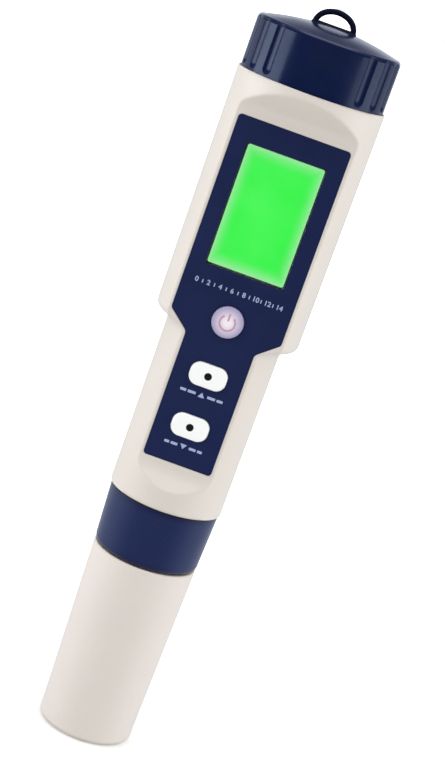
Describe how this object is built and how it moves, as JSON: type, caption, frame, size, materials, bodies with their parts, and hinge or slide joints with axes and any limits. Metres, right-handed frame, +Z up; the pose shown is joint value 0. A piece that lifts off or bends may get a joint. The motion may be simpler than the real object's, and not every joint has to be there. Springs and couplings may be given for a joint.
{
  "type": "digital ph meter",
  "caption": "Pen-type digital meter with backlit display, front keys, screw-off battery cap with lanyard loop, locking-ring electrode module and pull-off probe cap.",
  "frame": {"origin": "centre of the flat end of the probe cap, which the meter stands on", "axes": "+Z up along the barrel axis towards the battery cap, -Y out of the display face, +X to the right when looking at the display"},
  "size_m": [0.0376, 0.0376, 0.1944],
  "materials": {
    "white_shell": "satin moulded ABS, warm off-white",
    "navy_plastic": "satin moulded ABS, dark navy",
    "navy_film": "fine-textured printed overlay film, dark navy",
    "key_white": "smooth white key caps",
    "clear_plastic": "clear polycarbonate",
    "display_green": "backlit green liquid crystal panel",
    "board_green": "solder-masked glass epoxy",
    "black_plastic": "moulded black plastic",
    "white_plastic": "moulded white plastic",
    "seal_rubber": "soft black silicone rubber",
    "steel": "bright stainless steel",
    "nickel_spring": "nickel-plated spring steel",
    "gold_contact": "gold-plated brass",
    "silver_wire": "silver wire coated with silver chloride",
    "red_wire": "red insulated lead",
    "black_wire": "black insulated lead",
    "electrode_plastic": "satin dark grey polycarbonate",
    "bulb_glass": "thin clear pH glass",
    "porous_ceramic": "porous unglazed ceramic",
    "sponge_foam": "open-cell sponge, damp"
  },
  "bodies": {
    "probe_cap": {"probe_cap": "white_shell", "storage_sponge": "sponge_foam"},
    "electrode_module": {"electrode_body": "electrode_plastic", "plug_seal_ring": "seal_rubber", "cap_grip_ring": "seal_rubber", "ph_glass_bulb": "bulb_glass", "measuring_wire": "silver_wire", "conductivity_pins": "gold_contact", "temperature_probe": "steel", "reference_junction": "porous_ceramic", "pin_header": "black_plastic", "electrode_pins": "gold_contact", "electrode_leads": "black_wire"},
    "electrode_collar": {"electrode_collar": "navy_plastic"},
    "housing": {"main_housing": "white_shell", "front_label": "navy_film", "display_window": "clear_plastic", "main_circuit_board": "board_green", "lcd_panel": "display_green", "zebra_strip": "seal_rubber", "backlight_guide": "clear_plastic", "backlight_leds": "white_plastic", "lcd_frame": "white_plastic", "switch_bodies": "black_plastic", "controller_chip": "black_plastic", "board_components": "black_plastic", "battery_chassis": "black_plastic", "chassis_screws": "steel", "spring_terminals": "nickel_spring", "battery_springs": "nickel_spring", "button_cells": "steel", "battery_lead_red": "red_wire", "battery_lead_black": "black_wire", "cap_seal_ring": "seal_rubber", "sensor_connector": "black_plastic", "connector_contacts": "gold_contact", "sensor_leads": "black_wire"},
    "power_key": {"power_button": "key_white"},
    "upper_key": {"upper_button": "key_white"},
    "lower_key": {"lower_button": "key_white"},
    "power_switch": {"power_plunger": "white_plastic"},
    "upper_switch": {"upper_plunger": "white_plastic"},
    "lower_switch": {"lower_plunger": "white_plastic"},
    "contact_carrier": {"contact_carrier": "black_plastic", "contact_plate": "nickel_spring"},
    "battery_cap": {"battery_cap": "navy_plastic", "carrier_screw": "steel"}
  },
  "joints": [
    {"name": "probe_cap_pull", "type": "slide", "parent": "probe_cap", "child": "electrode_module", "axis": [0, 0, 1], "range_m": [0, 0.045]},
    {"name": "collar_turn", "type": "hinge", "parent": "electrode_module", "child": "electrode_collar", "pos_m": [0, 0, 0.058], "axis": [0, 0, -1], "range_deg": [0, 901]},
    {"name": "electrode_release", "type": "slide", "parent": "electrode_module", "child": "housing", "axis": [0, 0, 1], "range_m": [0, 0.005]},
    {"name": "cap_lift", "type": "slide", "parent": "housing", "child": "contact_carrier", "axis": [0, 0, 1], "range_m": [0, 0.00625]},
    {"name": "cap_turn", "type": "hinge", "parent": "contact_carrier", "child": "battery_cap", "pos_m": [0, 0, 0.18], "axis": [0, 0, 1], "range_deg": [0, 901]},
    {"name": "power_press", "type": "slide", "parent": "housing", "child": "power_key", "axis": [0, 1, 0], "range_m": [0, 0.0004]},
    {"name": "power_switch_travel", "type": "slide", "parent": "housing", "child": "power_switch", "axis": [0, 1, 0], "range_m": [0, 0.00041]},
    {"name": "upper_press", "type": "slide", "parent": "housing", "child": "upper_key", "axis": [0, 1, 0], "range_m": [0, 0.0004]},
    {"name": "upper_switch_travel", "type": "slide", "parent": "housing", "child": "upper_switch", "axis": [0, 1, 0], "range_m": [0, 0.00041]},
    {"name": "lower_press", "type": "slide", "parent": "housing", "child": "lower_key", "axis": [0, 1, 0], "range_m": [0, 0.0004]},
    {"name": "lower_switch_travel", "type": "slide", "parent": "housing", "child": "lower_switch", "axis": [0, 1, 0], "range_m": [0, 0.00041]}
  ],
  "couplings": [
    {"joint": "collar_turn", "follows": "electrode_release", "rad_per_m": 3141.6},
    {"joint": "cap_turn", "follows": "cap_lift", "rad_per_m": 2513.3},
    {"joint": "power_switch_travel", "follows": "power_press", "ratio": 1},
    {"joint": "upper_switch_travel", "follows": "upper_press", "ratio": 1},
    {"joint": "lower_switch_travel", "follows": "lower_press", "ratio": 1}
  ]
}
